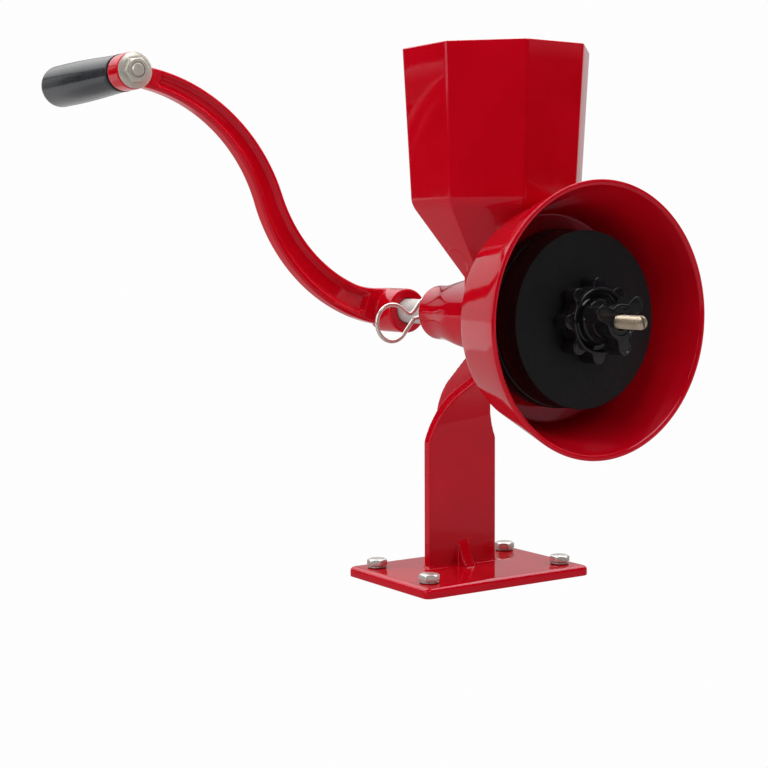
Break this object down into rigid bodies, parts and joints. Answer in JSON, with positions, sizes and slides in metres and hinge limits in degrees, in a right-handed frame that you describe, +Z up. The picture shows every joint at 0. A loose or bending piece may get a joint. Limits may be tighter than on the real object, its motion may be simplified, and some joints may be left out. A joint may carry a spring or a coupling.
{
  "type": "hand-cranked grain mill",
  "caption": "Bench-mounted manual stone grain mill with an octagonal hopper, flared flour bell, adjusting knob, T-section leg and S-curved crank.",
  "frame": {"origin": "centre of the base plate's flat underside", "axes": "+Z up; the shaft runs along Y, with the flour bell's mouth towards -Y and the crank at +Y; at rest the crank arm points towards -X and up"},
  "size_m": [0.2635, 0.336, 0.3068],
  "materials": {
    "red_enamel": "gloss red enamel over cast metal",
    "bright_steel": "bright turned steel",
    "spring_wire": "bright drawn spring wire",
    "stud_steel": "warm-toned machined thread",
    "shaft_grey": "satin ground shaft",
    "bush_bronze": "plain turned bush",
    "grey_casting": "bare casting",
    "dark_stone": "dark bonded grinding stone, satin",
    "black_disc": "matte black coating",
    "black_knob": "gloss black moulding",
    "insert_brass": "threaded insert",
    "grip_grey": "smooth blue-grey moulding",
    "black_ring": "matte black ring"
  },
  "bodies": {
    "frame": {"base_plate": "red_enamel", "base_bolt_1": "bright_steel", "base_bolt_2": "bright_steel", "base_bolt_3": "bright_steel", "base_bolt_4": "bright_steel", "base_washer_1": "bright_steel", "base_washer_2": "bright_steel", "base_washer_3": "bright_steel", "base_washer_4": "bright_steel", "leg": "red_enamel", "mill_barrel": "red_enamel", "hopper": "red_enamel", "flour_bell": "red_enamel", "clamp_screw_1": "bright_steel", "clamp_screw_2": "bright_steel", "clamp_screw_3": "bright_steel", "rear_bush": "bush_bronze", "inner_bush": "bush_bronze", "stone_holder": "grey_casting", "fixed_stone": "dark_stone"},
    "crank": {"main_shaft": "shaft_grey", "feed_auger": "grey_casting", "drive_pin": "bright_steel", "thrust_washer": "bright_steel", "hairpin_clip": "spring_wire", "threaded_stud": "stud_steel", "crank_arm": "red_enamel", "crank_key": "bright_steel", "crank_washer": "bright_steel", "crank_bolt": "bright_steel", "grip_axle_bolt": "bright_steel", "grip_nut": "bright_steel"},
    "grip": {"hand_grip": "grip_grey", "grip_ring": "black_ring"},
    "head": {"stone_disc": "black_disc", "turning_stone": "dark_stone"},
    "adjuster": {"adjusting_knob": "black_knob", "adjusting_knob_bush": "insert_brass"},
    "lock": {"lock_knob": "black_knob", "lock_knob_bush": "insert_brass"}
  },
  "joints": [
    {"name": "crank_turn", "type": "hinge", "parent": "frame", "child": "crank", "pos_m": [0, 0, 0.156], "axis": [0, 1, 0], "continuous": true},
    {"name": "grip_spin", "type": "hinge", "parent": "crank", "child": "grip", "pos_m": [-0.1767, 0.137, 0.2943], "axis": [0, 1, 0], "continuous": true},
    {"name": "head_slide", "type": "slide", "parent": "crank", "child": "head", "axis": [0, -1, 0], "range_m": [0, 0.0025]},
    {"name": "adjust_turn", "type": "hinge", "parent": "head", "child": "adjuster", "pos_m": [0, -0.11, 0.156], "axis": [0, -1, 0], "range_deg": [0, 720]},
    {"name": "lock_turn", "type": "hinge", "parent": "head", "child": "lock", "pos_m": [0, -0.127, 0.156], "axis": [0, -1, 0], "range_deg": [0, 360]}
  ],
  "couplings": [
    {"joint": "adjust_turn", "follows": "head_slide", "rad_per_m": 5026.5}
  ]
}
